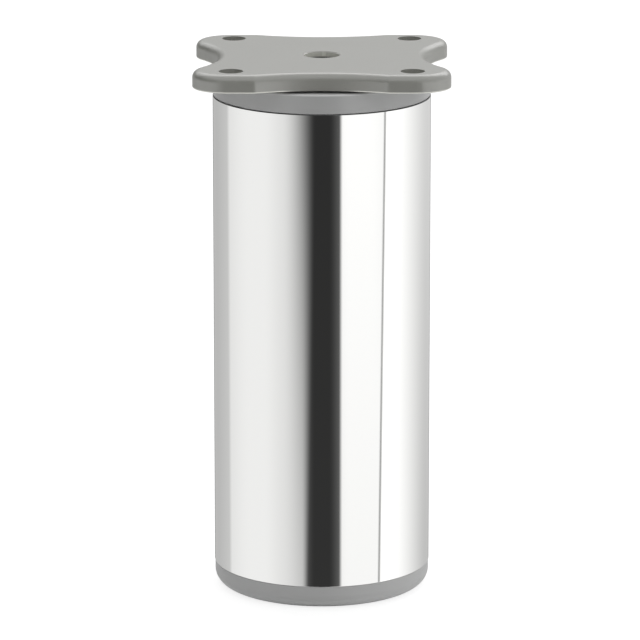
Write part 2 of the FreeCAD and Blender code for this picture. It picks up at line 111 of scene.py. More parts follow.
def colour(name, description, default):
    return bpy.props.FloatVectorProperty(name=name, description=description, default=default,
                                         subtype="COLOR", size=3, min=0.0, max=1.0)


def count(name, description, default):
    return bpy.props.IntProperty(name=name, description=description, default=default, min=1)


class TubeSettings(bpy.types.PropertyGroup):
    """Sizes of the bright tube."""

    radius: length("Radius", "Outside radius of the tube", TUBE_HIGH.x)
    wall: length("Wall", "Wall of the tube", 0.0012)
    edge_round: length("Edge round", "Round of the tube's cut edges", 0.00015)
    segments: count("Segments", "Points round the tube", 384)
    round_steps: count("Round steps", "Steps over each rounded edge", 6)


class SpindleSettings(bpy.types.PropertyGroup):
    """Sizes of the threaded spindle."""

    thread_radius: length("Thread radius", "Outside radius of the thread", 0.006)
    thread_depth: length("Thread depth", "Depth of the thread", 0.00095)
    pitch: length("Pitch", "Rise of the thread in one turn", METRES_PER_RADIAN * math.tau)
    flange_radius: length("Flange radius", "Radius of the flange", SPINDLE_HIGH.x)
    flange_thickness: length("Flange thickness", "Thickness of the flange", 0.0024)
    flange_round: length("Flange round", "Round of the flange's edges", 0.0003)
    relief_radius: length("Relief radius", "Radius of the plain neck above the flange", 0.0049)
    relief_length: length("Relief length", "Length of the plain neck", 0.002)
    end_chamfer: length("End chamfer", "Chamfer at the upper end", 0.001)
    key_width: length("Key width", "Width across the flats of the hexagon socket", 0.006)
    key_depth: length("Key depth", "Depth of the hexagon socket", 0.006)
    segments: count("Segments", "Points round the spindle, a multiple of six", 96)
    rows_per_turn: count("Rows per turn", "Rows of points in one pitch of the thread", 16)
    round_steps: count("Round steps", "Steps over each rounded edge of the flange", 4)


class PlasticSettings(bpy.types.PropertyGroup):
    """Finish of the grey moulded plastic."""

    # The collar and the foot are one plastic: the collar's colour is set darker than the foot's as
    # painted shade from the plate above it
    collar_tint: colour("Collar colour", "Colour of the collar", (0.366, 0.369, 0.366))
    foot_tint: colour("Foot colour", "Colour of the foot", (0.468, 0.47, 0.468))
    plate_tint: colour("Plate colour", "Colour of the mounting plate", (0.249, 0.25, 0.227))
    mottle: share("Mottle", "How far the colour wanders from place to place", 0.035)
    mottle_size: length("Mottle size", "Size of the patches of colour", 0.018)
    roughness: share("Roughness", "Mean roughness of the satin surface", 0.3)
    gloss: share("Gloss", "How strongly the surface mirrors, 0.5 as plain plastic does", 1.0)
    collar_index: level("Collar index", "Index of refraction of the collar", 1.45)
    foot_index: level("Foot index", "Index of refraction of the foot", 1.25)
    plate_index: level("Plate index", "Index of refraction of the mounting plate", 1.7)
    grain_size: length("Grain size", "Size of the moulded grain", 0.00035)
    grain_height: length("Grain height", "Height of the moulded grain", 0.000003)
    plate_thickness: length("Plate thickness", "Thickness of the mounting plate", 0.0048)
    # Painted highlight: a paler band along the plate's lower edge, standing for floor light on its lower
    # round, left out where the collar shades it
    rim_height: length("Rim height", "Height of the paler line along the plate's lower edge", 0.00045)
    rim_start: length("Rim start", "How far from the plate's middle that line starts to show", 0.007)
    rim_full: length("Rim full", "How far from the plate's middle that line is full", 0.011)
    rim_gain: level("Rim gain", "How much paler that line is", 3.0)
    # Painted highlight on the collar's upper rim
    collar_rim: length("Collar rim", "Height of the paler rim round the collar's upper edge", 0.0007)
    collar_rim_gain: level("Collar rim gain", "How much paler that rim is", 1.6)
    # Painted light: a paler band round the foot's sole, standing for floor light on its lower round
    sole_edge: length("Sole edge", "Height of the foot's paler worn edge", 0.0034)
    sole_edge_gain: level("Sole edge gain", "How much paler that edge is", 1.2)
    # Painted light near the mouth of the bore in the plate's middle, a painted highlight streak on its
    # back wall, and painted shade deeper down
    bore_radius: length("Bore radius", "Radius inside which the bore in the plate's middle lies", 0.005)
    bore_gain: level("Bore gain", "How much paler the wall of that bore is near its mouth", 3.25)
    bore_depth: length("Bore depth", "Depth where that wall gets dark", 0.0015)
    bore_blend: length("Bore blend", "Height over which it gets dark", 0.0005)
    bore_dark: level("Bore dark", "How dark the wall is below that depth", 0.3)
    seam_place: length("Seam place", "How far right of its middle the bore has its seam", 0.0006)
    seam_width: length("Seam width", "Width of that seam over its soft edges", 0.0014)
    seam_gain: level("Seam gain", "How much paler that seam is", 3.95)


class ChromeSettings(bpy.types.PropertyGroup):
    """Finish of the chrome plate."""

    tint: colour("Colour", "Colour of the chrome", (0.943, 0.943, 0.93))
    # Painted shade: a dark band at the tube's top edge, standing for the shade in the joint under the
    # collar
    cut_tint: colour("Cut colour", "Colour of the tube's dull cut edge at the top", (0.12, 0.12, 0.12))
    cut_height: length("Cut height", "Height of that edge", 0.00018)
    roughness: share("Roughness", "Roughness of the clean polish", 0.025)
    haze: share("Haze", "Roughness that faint polishing haze adds", 0.03)
    haze_size: length("Haze size", "Size of the hazy patches", 0.02)
    wave_size: length("Wave size", "Length of the slow waves in the polish", 0.02)
    wave_height: length("Wave height", "Height of the slow waves in the polish", 0.000002)


class SteelSettings(bpy.types.PropertyGroup):
    """Finish of the zinc-plated steel."""

    tint: colour("Colour", "Colour of the zinc plate", (0.62, 0.63, 0.65))
    roughness: share("Roughness", "Mean roughness of the zinc plate", 0.3)
    spangle: share("Spangle", "How far brightness and roughness wander", 0.12)
    spangle_size: length("Spangle size", "Size of the patches in the plate", 0.0012)


class InsertSettings(bpy.types.PropertyGroup):
    """Finish of the dark moulded insert."""

    tint: colour("Colour", "Colour of the insert", (0.05, 0.05, 0.052))
    roughness: share("Roughness", "Mean roughness of the insert", 0.5)
    mottle: share("Mottle", "How far the colour wanders with the grain", 0.15)
    grain_size: length("Grain size", "Size of the moulded grain", 0.0005)
    grain_height: length("Grain height", "Height of the moulded grain", 0.000005)


class StudioSettings(bpy.types.PropertyGroup):
    """Camera, floor and light."""

    camera_distance: length("Camera distance", "How far in front of the leg's axis it stands", 1.3)
    camera_height: length("Camera height", "Height of the camera above the floor", 0.3924)
    camera_side: length("Camera side", "How far the camera stands to the right", -0.00049)
    camera_tilt: angle("Camera tilt", "How far the camera looks down", 13.72)
    lens: bpy.props.FloatProperty(name="Lens", description="Focal length", default=270.7, unit="CAMERA")
    floor_size: length("Floor size", "Side of the square floor", 6.0)
    floor_bounce: share("Floor bounce", "Share of its light that the floor sends to the leg", 0.97)
    floor_glow: level("Floor glow", "White that the floor shows besides the light it takes", 0.8)
    floor_shade: share("Floor shade", "Share of its light that the floor shows, with the shadow", 0.32)


class WallSettings(bpy.types.PropertyGroup):
    """Pale studio walls that the chrome mirrors, and the light above them.
    Angles go round the leg from the camera, to the right. A value that shifts does so from the rays that
    show at the tube's top to those that show at its foot."""

    top_ray: angle("Top ray", "How steeply the rays that show at the tube's top go down", 11.3)
    foot_ray: angle("Foot ray", "How steeply the rays that show at the tube's foot go down", 16.9)
    gap: level("Gap", "Brightness of the dark gap at the camera", 0.027)
    gap_shift: level("Gap shift", "How much brighter the gap is at the foot", 0.005)
    left: level("Left wall", "Brightness of the left wall", 0.745)
    soft_start: angle("Soft end starts", "Where the left wall starts to fade softly", -42.7)
    soft_end: angle("Soft end stops", "Where the left wall's soft fade ends", -7.0)
    hard_place: angle("Hard end", "Middle of the left wall's harder end", -14.1)
    hard_shift: angle("Hard end shift", "How far the harder end shifts", -3.5)
    hard_reach: angle("Hard end reach", "How far the harder end's fade reaches to either side", 9.2)
    hard_narrowing: angle("Hard end narrowing", "How much that reach narrows", -5.3)
    hard_part: share("Hard part", "Share of the harder end in the left wall's fade", 0.06)
    hard_growth: share("Hard growth", "How much that share grows", 0.54)
    swell: level("Swell", "How much brighter the left wall's middle is", 0.126)
    swell_start: angle("Swell starts", "Where the left wall starts to brighten", -131.0)
    swell_full: angle("Swell is full", "Where it is at its brightest", -81.0)
    swell_falls: angle("Swell falls", "Where it starts to fade again", -65.6)
    swell_end: angle("Swell ends", "Where the swell ends", -34.3)
    wing: level("Wing", "How much darker the left wall's far part is", 0.205)
    wing_place: angle("Wing place", "Where the darker far part starts", -117.6)
    wing_shift: angle("Wing shift", "How far that place shifts", 1.9)
    wing_reach: angle("Wing reach", "How far its edge reaches to either side", 3.5)
    tail: level("Tail", "How much darker the far part still gets outwards", 0.07)
    tail_start: angle("Tail starts", "Where it starts to get darker", -116.9)
    tail_end: angle("Tail ends", "Where it is darkest", -151.0)
    glow: level("Glow", "Light that spills into the gap beside the right wall", 0.146)
    glow_start: angle("Glow starts", "Where that light starts", 7.2)
    glow_end: angle("Glow ends", "Where that light is full", 29.6)
    right: level("Right wall", "Brightness of the right wall", 0.9)
    right_shift: level("Right wall shift", "How much darker it is at the foot", 0.0925)
    right_start: angle("Right wall starts", "Where the right wall starts", 17.95)
    right_end: angle("Right wall is full", "Where the right wall is at its level", 22.4)
    far: level("Far part", "How much brighter the right wall is past its joint", 0.3)
    far_shift: level("Far part shift", "How much less so at the foot", 0.055)
    joint: level("Joint", "How much darker the joint in the right wall is", 0.7)
    joint_place: angle("Joint place", "Where the joint in the right wall lies", 70.6)
    joint_shift: angle("Joint shift", "How far the joint shifts", -6.2)
    joint_core: angle("Joint core", "Half the width of the joint's dark middle", 0.3)
    joint_reach: angle("Joint reach", "Half the width of the joint over its soft edges", 2.4)
    fade: level("Fade", "How much darker the right wall gets outwards", 0.697)
    fade_start: angle("Fade starts", "Where the right wall starts to get darker", 49.0)
    fade_shift: angle("Fade shift", "How far that place shifts", 14.5)
    fade_end: angle("Fade ends", "Where the right wall is darkest", 152.2)
    back_start: angle("Back gap starts", "Where the dark gap behind the leg starts on both sides", 168.0)
    back_full: angle("Back gap is full", "Where that gap is at its darkest", 172.0)
    above: level("Upper walls", "Brightness of the walls above the leg's own height", 0.43)
    slant: level("Slant", "How much brighter they are at the right, and darker at the left", 0.4)
    upper_gap: share("Upper gap", "How much darker the upper walls are at the camera", 0.85)
    upper_gap_reach: angle("Upper gap reach", "How far that gap reaches to either side", 14.0)
    upper_gap_edge: angle("Upper gap edge", "Width of its soft edges", 5.0)
    upper_gap_top: angle("Upper gap top", "How high it reaches", 32.0)
    ceiling: level("Ceiling", "Brightness of the ceiling", 0.9)
    ceiling_start: angle("Ceiling starts", "How high the walls start to fade into the ceiling", 20.0)
    ceiling_end: angle("Ceiling is full", "How high the ceiling is at its full brightness", 50.0)
    softbox: level("Softbox", "How much light a softbox above and behind the leg adds", 1.3)
    softbox_slant: level("Softbox slant", "How much brighter its right is, and darker its left", 0.65)
    softbox_low: angle("Softbox low", "Height of the softbox's lower edge", 22.0)
    softbox_high: angle("Softbox high", "Height of the softbox's upper edge", 62.0)
    softbox_reach: angle("Softbox reach", "How far it reaches to either side from straight behind", 45.0)
    softbox_edge: angle("Softbox edge", "Width of the softbox's soft edge", 8.0)


class LegSettings(bpy.types.PropertyGroup):
    """All settings of the cabinet leg."""

    tube: bpy.props.PointerProperty(type=TubeSettings)
    spindle: bpy.props.PointerProperty(type=SpindleSettings)
    plastic: bpy.props.PointerProperty(type=PlasticSettings)
    chrome: bpy.props.PointerProperty(type=ChromeSettings)
    steel: bpy.props.PointerProperty(type=SteelSettings)
    insert: bpy.props.PointerProperty(type=InsertSettings)
    studio: bpy.props.PointerProperty(type=StudioSettings)
    walls: bpy.props.PointerProperty(type=WallSettings)


# Shader building

def pick(sockets, key):
    """A socket by its place, its identifier or its name."""
    if isinstance(key, int):
        return sockets[key]
    by_identifier = {socket.identifier: socket for socket in sockets}
    return by_identifier.get(key) or sockets[key]


class Value:
    """A shader socket that takes part in Python arithmetic: every operator adds a Math node."""

    def __init__(self, shader, socket):
        self.shader = shader
        self.socket = socket

    def output(self, key):
        """Another output of the same node."""
        return Value(self.shader, pick(self.socket.node.outputs, key))

    def __add__(self, other):
        return self.shader.math("ADD", self, other)

    def __sub__(self, other):
        return self.shader.math("SUBTRACT", self, other)

    def __rsub__(self, other):
        return self.shader.math("SUBTRACT", other, self)

    def __mul__(self, other):
        return self.shader.math("MULTIPLY", self, other)

    def __abs__(self):
        return self.shader.math("ABSOLUTE", self)

    __radd__ = __add__
    __rmul__ = __mul__


class Shader:
    """The node tree of one material or of the world."""

    def __init__(self, owner):
        owner.use_nodes = True
        self.tree = owner.node_tree
        self.tree.nodes.clear()

    def node(self, kind, settings=None, inputs=None, output=0):
        """Adds a node, sets it up, gives its sockets their values or links, and returns an output."""
        node = self.tree.nodes.new(kind)
        for name, setting in (settings or {}).items():
            setattr(node, name, setting)
        for key, given in (inputs or {}).items():
            socket = pick(node.inputs, key)
            if isinstance(given, Value):
                self.tree.links.new(given.socket, socket)
            else:
                socket.default_value = given
        return Value(self, pick(node.outputs, output)) if len(node.outputs) else None

    def math(self, operation, *values):
        return self.node("ShaderNodeMath", {"operation": operation}, dict(enumerate(values)))

    def edge(self, value, start, end):
        """Rises smoothly from 0 to 1 as the value goes from start to end."""
        return self.node("ShaderNodeMapRange", {"interpolation_type": "SMOOTHSTEP"},
                         {"Value": value, "From Min": start, "From Max": end})

    def mix_colour(self, factor, first, second):
        return self.node("ShaderNodeMix", {"data_type": "RGBA"},
                         {"Factor_Float": factor, "A_Color": first, "B_Color": second}, "Result_Color")

    def mix_shader(self, factor, first, second):
        return self.node("ShaderNodeMixShader", {}, {0: factor, 1: first, 2: second})

    def noise(self, place, size, detail=2.0):
        """Soft noise from 0 to 1, with patches of about this size."""
        return self.node("ShaderNodeTexNoise", {},
                         {"Vector": place, "Scale": 1.0 / size, "Detail": detail})

    def place(self):
        """The place on the object, in metres."""
        return self.node("ShaderNodeTexCoord", output="Object")

    def bump(self, height, metres):
        return self.node("ShaderNodeBump", {}, {"Height": height, "Distance": metres, "Strength": 1.0})

    def surface(self, inputs):
        """Ends a material in one shader with these sockets."""
        bsdf = self.node("ShaderNodeBsdfPrincipled", {}, inputs)
        self.node("ShaderNodeOutputMaterial", {}, {"Surface": bsdf})

    def upward(self, vector):
        """How far up a place lies, or how far up a direction looks."""
        return self.node("ShaderNodeSeparateXYZ", {}, {0: vector}, "Z")

    def wander(self, factor, tint, far):
        """A colour that wanders this far to either side, as the factor goes from 0 to 1."""
        return self.mix_colour(factor, opaque(tint, 1 - far), opaque(tint, 1 + far))


def opaque(tint, gain=1.0):
    """A colour with full alpha, made lighter or darker by gain."""
    return (*(channel * gain for channel in tint), 1.0)


# Finishes

def moulded_grey(name, settings, tint, index, paint=None):
    """Satin moulded plastic: fine grain and a colour that wanders a little, to which painted light and
    shade may be added.
    """
    material = bpy.data.materials.new(name)
    shader = Shader(material)
    place = shader.place()
    patches = shader.noise(place, settings.mottle_size, detail=4.0)
    grain = shader.noise(place, settings.grain_size)
    base = shader.wander(patches, tint, settings.mottle)
    if paint:
        base = paint(shader, place, base)
    shader.surface({"Base Color": base, "Specular IOR Level": settings.gloss, "IOR": index,
                    "Roughness": settings.roughness + GRAIN_SPREAD * (grain - 0.5),
                    "Normal": shader.bump(grain, settings.grain_height)})
    return material


def collar_plastic(settings):
    """Plastic of the collar, with a painted highlight on its upper rim, and a colour darker than the
    foot's as painted shade from the plate above it.
    """
    tint = settings.collar_tint

    def paler(shader, place, base):
        below = COLLAR_TOP - shader.upward(place)
        # Painted highlight: the collar paler towards its upper rim
        rim = 1 - shader.edge(below, settings.collar_rim / 2, settings.collar_rim)
        return shader.mix_colour(rim, base, opaque(tint, settings.collar_rim_gain))

    return moulded_grey("collar_plastic", settings, tint, settings.collar_index, paler)


def foot_plastic(settings):
    """Plastic of the foot, with painted light on a paler band round its sole."""
    tint = settings.foot_tint

    def paler(shader, place, base):
        # Painted light: the foot paler towards its sole
        sole_light = 1 - shader.edge(shader.upward(place), 0.0, settings.sole_edge)
        return shader.mix_colour(sole_light, base, opaque(tint, settings.sole_edge_gain))

    return moulded_grey("foot_plastic", settings, tint, settings.foot_index, paler)


def bore_share(shader, settings, x, y):
    """Where light and shade are painted on the wall of the bore in the plate's middle: 1 on that wall, 0
    outside it and at its very mouth.
    """
    radius = shader.math("SQRT", x * x + y * y)
    inside = 1 - shader.edge(radius, settings.bore_radius, settings.bore_radius * BORE_MARGIN)
    return inside * shader.edge(PLATE_TOP - x.output("Z"), 0.0, settings.bore_blend)


def bore_colour(shader, settings, x, y):
    """Painted light and shade on that wall: painted light near its mouth with a painted highlight streak
    at the back, and painted shade below.
    """
    tint = settings.plate_tint
    half_blend = settings.bore_blend / 2
    depth = PLATE_TOP - x.output("Z")
    deep = shader.edge(depth, settings.bore_depth - half_blend, settings.bore_depth + half_blend)
    half_streak_highlight = settings.seam_width / 2
    streak_highlight = 1 - shader.edge(abs(x - settings.seam_place), half_streak_highlight / 2, half_streak_highlight)
    streak_highlight = streak_highlight * shader.edge(y, 0.0, settings.seam_width)
    mouth = shader.mix_colour(streak_highlight, opaque(tint, settings.bore_gain), opaque(tint, settings.seam_gain))
    return shader.mix_colour(deep, mouth, opaque(tint, settings.bore_dark))


def plate_plastic(settings):
    """Plastic of the mounting plate, with a painted highlight along its lower edge and painted light and
    shade in its bore.
    """
    tint = settings.plate_tint
    low = PLATE_TOP - settings.plate_thickness

    def paler(shader, place, base):
        x = shader.node("ShaderNodeSeparateXYZ", {}, {0: place}, "X")
        y = x.output("Y")
        facing = shader.node("ShaderNodeNewGeometry", output="Normal")
        side = shader.edge(shader.upward(facing), UNDERSIDE, SIDE)
        # Painted highlight along the lower edge, on the side faces only and not near the middle of the
        # front and back
        line = 1 - shader.edge(x.output("Z"), low + settings.rim_height / 2, low + settings.rim_height)
        line = line * side * shader.edge(abs(x), settings.rim_start, settings.rim_full)
        base = shader.mix_colour(line, base, opaque(tint, settings.rim_gain))
        # Painted light and shade on the wall of the bore
        wall = bore_share(shader, settings, x, y)
        return shader.mix_colour(wall, base, bore_colour(shader, settings, x, y))

    return moulded_grey("plate_plastic", settings, tint, settings.plate_index, paler)


def chrome_plate(settings):
    """Polished chrome: slow waves and faint haze in the polish, and painted shade as a dark band at the
    cut edge under the collar.
    """
    material = bpy.data.materials.new("chrome_plate")
    shader = Shader(material)
    place = shader.place()
    haze = shader.noise(place, settings.haze_size, detail=5.0)
    waves = shader.noise(place, settings.wave_size, detail=1.0)
    below = TUBE_HIGH.z - shader.upward(place)
    # Painted shade in the joint under the collar
    cut = 1 - shader.edge(below, settings.cut_height / 2, settings.cut_height)
    base = shader.mix_colour(cut, opaque(settings.tint), opaque(settings.cut_tint))
    shader.surface({"Base Color": base, "Metallic": 1.0,
                    "Roughness": settings.roughness + settings.haze * haze * haze,
                    "Normal": shader.bump(waves, settings.wave_height)})
    return material


def zinc_plate(settings):
    """Bright zinc plate: small patches that differ in brightness and roughness."""
    material = bpy.data.materials.new("zinc_plate")
    shader = Shader(material)
    spangle = shader.noise(shader.place(), settings.spangle_size, detail=3.0)
    base = shader.wander(spangle, settings.tint, settings.spangle)
    roughness = settings.roughness + settings.spangle * (spangle - 0.5)
    shader.surface({"Base Color": base, "Metallic": 1.0, "Roughness": roughness})
    return material


def dark_plastic(settings):
    """Dark moulded plastic with a plain grain."""
    material = bpy.data.materials.new("dark_plastic")
    shader = Shader(material)
    grain = shader.noise(shader.place(), settings.grain_size)
    base = shader.wander(grain, settings.tint, settings.mottle)
    shader.surface({"Base Color": base,
                    "Roughness": settings.roughness + GRAIN_SPREAD * (grain - 0.5),
                    "Normal": shader.bump(grain, settings.grain_height)})
    return material


def kept_finish(make, settings):
    """The finish of this name, made once and shared by its pieces."""
    return bpy.data.materials.get(make.__name__) or make(settings)


def finish_nodes(material, *nodes):
    """Gives the frame's own pieces their finish."""
    for node in nodes:
        for slot in frame["nodes"][node].material_slots:
            slot.material = material


# Turned meshes

def around(radius, height, turn):
    """A point at this radius and height, turned about the leg's axis."""
    return (radius * math.cos(turn), radius * math.sin(turn), height)


def bridge(first, second, segments):
    """Faces between two rings of points, by the places of their first points in the list."""
    faces = []
    for step in range(segments):
        after = (step + 1) % segments
        faces.append((first + step, first + after, second + after, second + step))
    return faces


def arc(radius, height, size, start, steps):
    """A quarter round about a centre in the half plane: each point with the direction that it faces."""
    for step in range(steps + 1):
        facing = start + math.pi / 2 * step / steps
        yield radius + size * math.cos(facing), height + size * math.sin(facing), facing


def add_piece(name, points, faces, material):
    mesh = bpy.data.meshes.new(name)
    mesh.from_pydata(points, [], faces)
    mesh.shade_smooth()
    mesh.materials.append(material)
    piece = bpy.data.objects.new(name, mesh)
    bpy.context.scene.collection.objects.link(piece)
    return piece


def turn_tube(settings, material):
    """The tube as one closed turned wall with rounded ends, each point facing as the true round does."""
    inner = settings.radius - settings.wall + settings.edge_round
    outer = settings.radius - settings.edge_round
    low = TUBE_LOW.z + settings.edge_round
    high = TUBE_HIGH.z - settings.edge_round
    corners = ((outer, low), (outer, high), (inner, high), (inner, low))
    section = []
    for quarter, (radius, height) in enumerate(corners):
        start = math.pi / 2 * (quarter - 1)
        section.extend(arc(radius, height, settings.edge_round, start, settings.round_steps))
    turns = [math.tau * step / settings.segments for step in range(settings.segments)]
    points = [around(radius, height, turn) for radius, height, facing in section for turn in turns]
    normals = [around(math.cos(facing), math.sin(facing), turn) for radius, height, facing in section
               for turn in turns]
    faces = []
    for ring in range(len(section)):
        after = (ring + 1) % len(section)
        faces.extend(bridge(ring * settings.segments, after * settings.segments, settings.segments))
    tube = add_piece("bright_tube", points, faces, material)
    tube.data.normals_split_custom_set_from_vertices(normals)
    return tube


def thread_share(phase):
    """How far out the thread stands at this share of a pitch: 1 on its crest, 0 in its root."""
    rise = abs(2 * (phase % 1) - 1)
    flank = (rise - ROOT_SHARE) / (1 - ROOT_SHARE - CREST_SHARE)
    return min(max(flank, 0.0), 1.0)


def hexagon_radius(across, turn):
    """Radius of a hexagon of this width across its flats."""
    sixth = math.tau / 6
    return across / 2 / math.cos((turn + sixth / 2) % sixth - sixth / 2)


def spindle_rings(settings):
    """Rings of the spindle from its flange, over the thread, to the floor of the key socket.
    Each ring is a height and a rule that gives the radius at a turn."""
    base = SPINDLE_LOW.z
    top = SPINDLE_HIGH.z
    flange_top = base + settings.flange_thickness
    neck_top = flange_top + settings.relief_length

    def plain(radius, height):
        return height, lambda turn: radius

    def threaded(height):
        lead = settings.relief_radius + height - neck_top
        chamfer = settings.thread_radius - settings.end_chamfer + top - height
        limit = min(settings.thread_radius, lead, chamfer)

        def radius(turn):
            out = thread_share((height - base) / settings.pitch - turn / math.tau)
            return min(limit, settings.thread_radius - settings.thread_depth * (1 - out))

        return height, radius

    def hexagon(height):
        return height, lambda turn: hexagon_radius(settings.key_width, turn)

    rim = settings.flange_radius - settings.flange_round
    for corner_height, start in ((base + settings.flange_round, -math.pi / 2),
                                 (flange_top - settings.flange_round, 0.0)):
        for radius, height, facing in arc(rim, corner_height, settings.flange_round, start,
                                          settings.round_steps):
            yield plain(radius, height)
    yield plain(settings.relief_radius, flange_top)
    rows = round((top - neck_top) / settings.pitch * settings.rows_per_turn)
    for row in range(rows + 1):
        yield threaded(neck_top + (top - neck_top) * row / rows)
    yield hexagon(top)
    yield hexagon(top - settings.key_depth)


def turn_spindle(settings, material):
    """The spindle with its thread cut as a true helix and a hexagon socket in its end."""
    segments = settings.segments
    turns = [math.tau * step / segments for step in range(segments)]
    rings = [[around(radius(turn), height, turn) for turn in turns]
             for height, radius in spindle_rings(settings)]
    points = [point for ring in rings for point in ring]
    faces = []
    for ring in range(len(rings) - 1):
        faces.extend(bridge(ring * segments, (ring + 1) * segments, segments))
    last = (len(rings) - 1) * segments
    faces.append(tuple(reversed(range(segments))))
    faces.append(tuple(range(last, last + segments)))
    spindle = add_piece("threaded_spindle", points, faces, material)
    spindle.data.set_sharp_from_angle(angle=SHARP_EDGE)
    return spindle


# Studio

def left_wall(shader, walls, azimuth, drop):
    """Brightness of the left wall: it fades into the gap, swells in its middle and darkens far round."""
    soft = 1 - shader.edge(azimuth, walls.soft_start, walls.soft_end)
    place = walls.hard_place + walls.hard_shift * drop
    reach = walls.hard_reach + walls.hard_narrowing * drop
    hard = 1 - shader.edge(azimuth, place - reach, place + reach)
    part = walls.hard_part + walls.hard_growth * drop
    swell = (shader.edge(azimuth, walls.swell_start, walls.swell_full)
             * (1 - shader.edge(azimuth, walls.swell_falls, walls.swell_end)))
    wing_place = walls.wing_place + walls.wing_shift * drop
    wing = 1 - shader.edge(azimuth, wing_place - walls.wing_reach, wing_place + walls.wing_reach)
    tail = 1 - shader.edge(azimuth, walls.tail_end, walls.tail_start)
    return (walls.left * (soft + part * (hard - soft)) + walls.swell * swell - walls.wing * wing
            - walls.tail * tail)


def right_wall(shader, walls, azimuth, drop):
    """Brightness of the right wall: a sharp end, a dark joint, and a slow fade far round."""
    glow = walls.glow * shader.edge(azimuth, walls.glow_start, walls.glow_end)
    wall = shader.edge(azimuth, walls.right_start, walls.right_end)
    place = walls.joint_place + walls.joint_shift * drop
    joint = 1 - shader.edge(abs(azimuth - place), walls.joint_core, walls.joint_reach)
    far = shader.edge(azimuth, place - walls.joint_core, place + walls.joint_core)
    bright = walls.right - walls.right_shift * drop + (walls.far - walls.far_shift * drop) * far
    fade = walls.fade * shader.edge(azimuth, walls.fade_start + walls.fade_shift * drop, walls.fade_end)
    return glow + wall * (bright - walls.joint * joint - fade)


def upper_light(shader, walls, azimuth, across, height):
    """Brightness above the horizon: walls with a gap at the camera, a ceiling, and a softbox behind."""
    sine = math.sin
    reach = walls.upper_gap_reach
    ahead = 1 - shader.edge(abs(azimuth), reach - walls.upper_gap_edge, reach)
    top = walls.upper_gap_top
    gap = ahead * (1 - shader.edge(height, sine(top - walls.upper_gap_edge), sine(top)))
    sides = (walls.above + walls.slant * across) * (1 - walls.upper_gap * gap)
    ceiling = shader.edge(height, sine(walls.ceiling_start), sine(walls.ceiling_end))
    edge = walls.softbox_edge
    turn = math.pi - walls.softbox_reach
    behind = shader.edge(abs(azimuth), turn - edge, turn)
    low = shader.edge(height, sine(walls.softbox_low - edge), sine(walls.softbox_low))
    high = shader.edge(height, sine(walls.softbox_high), sine(walls.softbox_high + edge))
    softbox = (walls.softbox + walls.softbox_slant * across) * behind * low * (1 - high)
    return sides + ceiling * (walls.ceiling - sides) + softbox


def studio_light(shader, walls, direction):
    """Brightness of the studio in a direction. Below the horizon are the walls that the tube mirrors:
    pale ones at the left and right of a dark gap at the camera, and a second dark gap behind the leg.
    The light that the plastic takes comes from above the horizon."""
    x = shader.node("ShaderNodeSeparateXYZ", {}, {0: direction}, "X")
    y = x.output("Y")
    z = x.output("Z")
    azimuth = shader.math("ARCTAN2", x, -1 * y)
    drop = shader.node("ShaderNodeMapRange", {}, {"Value": z, "From Min": -math.sin(walls.top_ray),
                                                  "From Max": -math.sin(walls.foot_ray)})
    gap = walls.gap + walls.gap_shift * drop
    sides = gap + left_wall(shader, walls, azimuth, drop) + right_wall(shader, walls, azimuth, drop)
    back_gap = shader.edge(abs(azimuth), walls.back_start, walls.back_full)
    sides = sides - back_gap * (sides - gap)
    above = shader.edge(z, -HORIZON_BLEND, HORIZON_BLEND)
    return sides + above * (upper_light(shader, walls, azimuth, x, z) - sides)


def light_studio(walls):
    """The studio lights the leg and shows in the chrome, and the camera itself sees plain white."""
    world = bpy.data.worlds.new("studio")
    bpy.context.scene.world = world
    shader = Shader(world)
    direction = shader.node("ShaderNodeTexCoord", output="Generated")
    lit = shader.node("ShaderNodeBackground", {}, {"Color": studio_light(shader, walls, direction)})
    white = shader.node("ShaderNodeBackground", {}, {"Color": WHITE})
    seen = shader.node("ShaderNodeLightPath", output="Is Camera Ray")
    shader.node("ShaderNodeOutputWorld", {}, {"Surface": shader.mix_shader(seen, lit, white)})


def floor_finish(settings):
    """Pale floor that looks white and keeps the leg's soft shadow. From below it is clear."""
    material = bpy.data.materials.new("pale_floor")
    shader = Shader(material)
    plain = shader.node("ShaderNodeBsdfDiffuse", {}, {"Color": opaque(WHITE[:3], settings.floor_bounce)})
    glow = shader.node("ShaderNodeEmission", {}, {"Color": WHITE, "Strength": settings.floor_glow})
    shade = shader.node("ShaderNodeBsdfDiffuse", {}, {"Color": opaque(WHITE[:3], settings.floor_shade)})
    both = shader.node("ShaderNodeAddShader", {}, {0: glow, 1: shade})
    seen = shader.node("ShaderNodeLightPath", output="Is Camera Ray")
    below = shader.node("ShaderNodeNewGeometry", output="Backfacing")
    clear = shader.node("ShaderNodeBsdfTransparent")
    surface = shader.mix_shader(below, shader.mix_shader(seen, plain, both), clear)
    shader.node("ShaderNodeOutputMaterial", {}, {"Surface": surface})
    return material


def lay_floor(settings):
    """The floor stays under the sole, so it goes down with the foot."""
    reach = settings.floor_size / 2
    corners = [(-reach, -reach, 0.0), (reach, -reach, 0.0), (reach, reach, 0.0), (-reach, reach, 0.0)]
    floor = add_piece("floor", corners, [(0, 1, 2, 3)], floor_finish(settings))
    floor.visible_glossy = False
    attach(floor, "foot")


def place_camera(settings):
    """The camera stands in front of the leg and looks down on it."""
    camera = bpy.data.objects.new("camera", bpy.data.cameras.new("camera"))
    camera.data.lens = settings.lens
    camera.location = (settings.camera_side, -settings.camera_distance, settings.camera_height)
    camera.rotation_euler = (math.pi / 2 - settings.camera_tilt, 0.0, 0.0)
    bpy.context.scene.collection.objects.link(camera)
    bpy.context.scene.camera = camera


# Operators, one for each piece or group of like pieces

